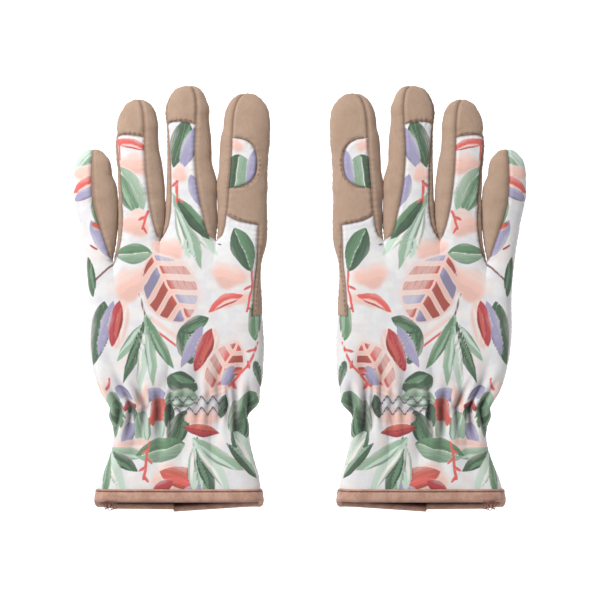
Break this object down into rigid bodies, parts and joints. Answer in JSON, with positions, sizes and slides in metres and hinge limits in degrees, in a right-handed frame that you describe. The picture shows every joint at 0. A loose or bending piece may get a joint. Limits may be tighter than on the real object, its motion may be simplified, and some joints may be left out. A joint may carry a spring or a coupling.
{
  "type": "gardening gloves",
  "caption": "Pair of sewn gardening gloves with patterned fabric backs, suede palms and fingertips, gathered wrists and flared, bound cuffs.",
  "frame": {"origin": "below the middle of the pair, midway in depth, at the level of the cuffs' lowest edge", "axes": "+X from the left glove to the right glove across both, +Y from the back of the hands to the palms, +Z from the cuffs to the fingertips"},
  "size_m": [0.2564, 0.032, 0.243],
  "materials": {
    "print_fabric": "matt cotton-feel stretch fabric with a printed leaf pattern",
    "suede": "soft tan suede with a fine nap",
    "binding": "folded rosy tan binding tape, softly satin",
    "elastic": "ribbed off-white elastic",
    "thread": "dark red-brown twisted thread"
  },
  "bodies": {
    "left_hand": {"left_back_panel": "print_fabric", "left_palm_panel": "suede", "left_outer_side": "suede", "left_thumb_side": "suede", "left_wrist_elastic": "elastic"},
    "left_index": {"left_index_window": "print_fabric", "left_index_back": "print_fabric", "left_index_wrap": "suede", "left_index_palm": "suede", "left_index_fourchette": "suede"},
    "left_middle": {"left_middle_back": "print_fabric", "left_middle_palm": "suede", "left_middle_inner_fourchette": "suede", "left_middle_outer_fourchette": "suede", "left_middle_cap": "suede"},
    "left_ring": {"left_ring_back": "print_fabric", "left_ring_palm": "suede", "left_ring_inner_fourchette": "suede", "left_ring_outer_fourchette": "suede", "left_ring_cap": "suede"},
    "left_little": {"left_little_back": "print_fabric", "left_little_palm": "suede", "left_little_fourchette": "suede"},
    "left_thumb": {"left_thumb_back": "suede", "left_thumb_palm": "suede"},
    "left_cuff": {"left_cuff_back": "print_fabric", "left_cuff_palm": "suede", "left_cuff_binding": "binding", "left_tack_loop": "thread"},
    "right_hand": {"right_back_panel": "print_fabric", "right_palm_panel": "suede", "right_outer_side": "suede", "right_thumb_side": "suede", "right_wrist_elastic": "elastic"},
    "right_index": {"right_index_window": "print_fabric", "right_index_back": "print_fabric", "right_index_wrap": "suede", "right_index_palm": "suede", "right_index_fourchette": "suede"},
    "right_middle": {"right_middle_back": "print_fabric", "right_middle_palm": "suede", "right_middle_inner_fourchette": "suede", "right_middle_outer_fourchette": "suede", "right_middle_cap": "suede"},
    "right_ring": {"right_ring_back": "print_fabric", "right_ring_palm": "suede", "right_ring_inner_fourchette": "suede", "right_ring_outer_fourchette": "suede", "right_ring_cap": "suede"},
    "right_little": {"right_little_back": "print_fabric", "right_little_palm": "suede", "right_little_fourchette": "suede"},
    "right_thumb": {"right_thumb_back": "suede", "right_thumb_palm": "suede"},
    "right_cuff": {"right_cuff_back": "print_fabric", "right_cuff_palm": "suede", "right_cuff_binding": "binding", "right_tack_loop": "thread"}
  },
  "joints": [
    {"name": "left_index_flex", "type": "hinge", "parent": "left_hand", "child": "left_index", "pos_m": [-0.0328, -0.00185, 0.157], "axis": [-1, 0, 0], "range_deg": [0, 75]},
    {"name": "left_middle_flex", "type": "hinge", "parent": "left_hand", "child": "left_middle", "pos_m": [-0.0622, -0.00185, 0.157], "axis": [-1, 0, 0], "range_deg": [0, 75]},
    {"name": "left_ring_flex", "type": "hinge", "parent": "left_hand", "child": "left_ring", "pos_m": [-0.09, -0.00185, 0.157], "axis": [-1, 0, 0], "range_deg": [0, 75]},
    {"name": "left_little_flex", "type": "hinge", "parent": "left_hand", "child": "left_little", "pos_m": [-0.1137, -0.00185, 0.1456], "axis": [-1, 0, 0], "range_deg": [0, 75]},
    {"name": "left_thumb_fold", "type": "hinge", "parent": "left_hand", "child": "left_thumb", "pos_m": [-0.02418, 0.00485, 0.09077], "axis": [-0.0929, 0, -0.9957], "range_deg": [0, 95]},
    {"name": "left_cuff_flex", "type": "hinge", "parent": "left_hand", "child": "left_cuff", "pos_m": [-0.0686, -0.00385, 0.047], "axis": [1, 0, 0], "range_deg": [-30, 30]},
    {"name": "right_index_flex", "type": "hinge", "parent": "right_hand", "child": "right_index", "pos_m": [0.0328, -0.00185, 0.157], "axis": [-1, 0, 0], "range_deg": [0, 75]},
    {"name": "right_middle_flex", "type": "hinge", "parent": "right_hand", "child": "right_middle", "pos_m": [0.0622, -0.00185, 0.157], "axis": [-1, 0, 0], "range_deg": [0, 75]},
    {"name": "right_ring_flex", "type": "hinge", "parent": "right_hand", "child": "right_ring", "pos_m": [0.09, -0.00185, 0.157], "axis": [-1, 0, 0], "range_deg": [0, 75]},
    {"name": "right_little_flex", "type": "hinge", "parent": "right_hand", "child": "right_little", "pos_m": [0.1137, -0.00185, 0.1456], "axis": [-1, 0, 0], "range_deg": [0, 75]},
    {"name": "right_thumb_fold", "type": "hinge", "parent": "right_hand", "child": "right_thumb", "pos_m": [0.02418, 0.00485, 0.09077], "axis": [-0.0929, 0, 0.9957], "range_deg": [0, 95]},
    {"name": "right_cuff_flex", "type": "hinge", "parent": "right_hand", "child": "right_cuff", "pos_m": [0.0686, -0.00385, 0.047], "axis": [1, 0, 0], "range_deg": [-30, 30]},
    {"name": "right_glove_lift", "type": "slide", "parent": "left_hand", "child": "right_hand", "axis": [0, 0, 1], "range_m": [0, 0.04]}
  ]
}
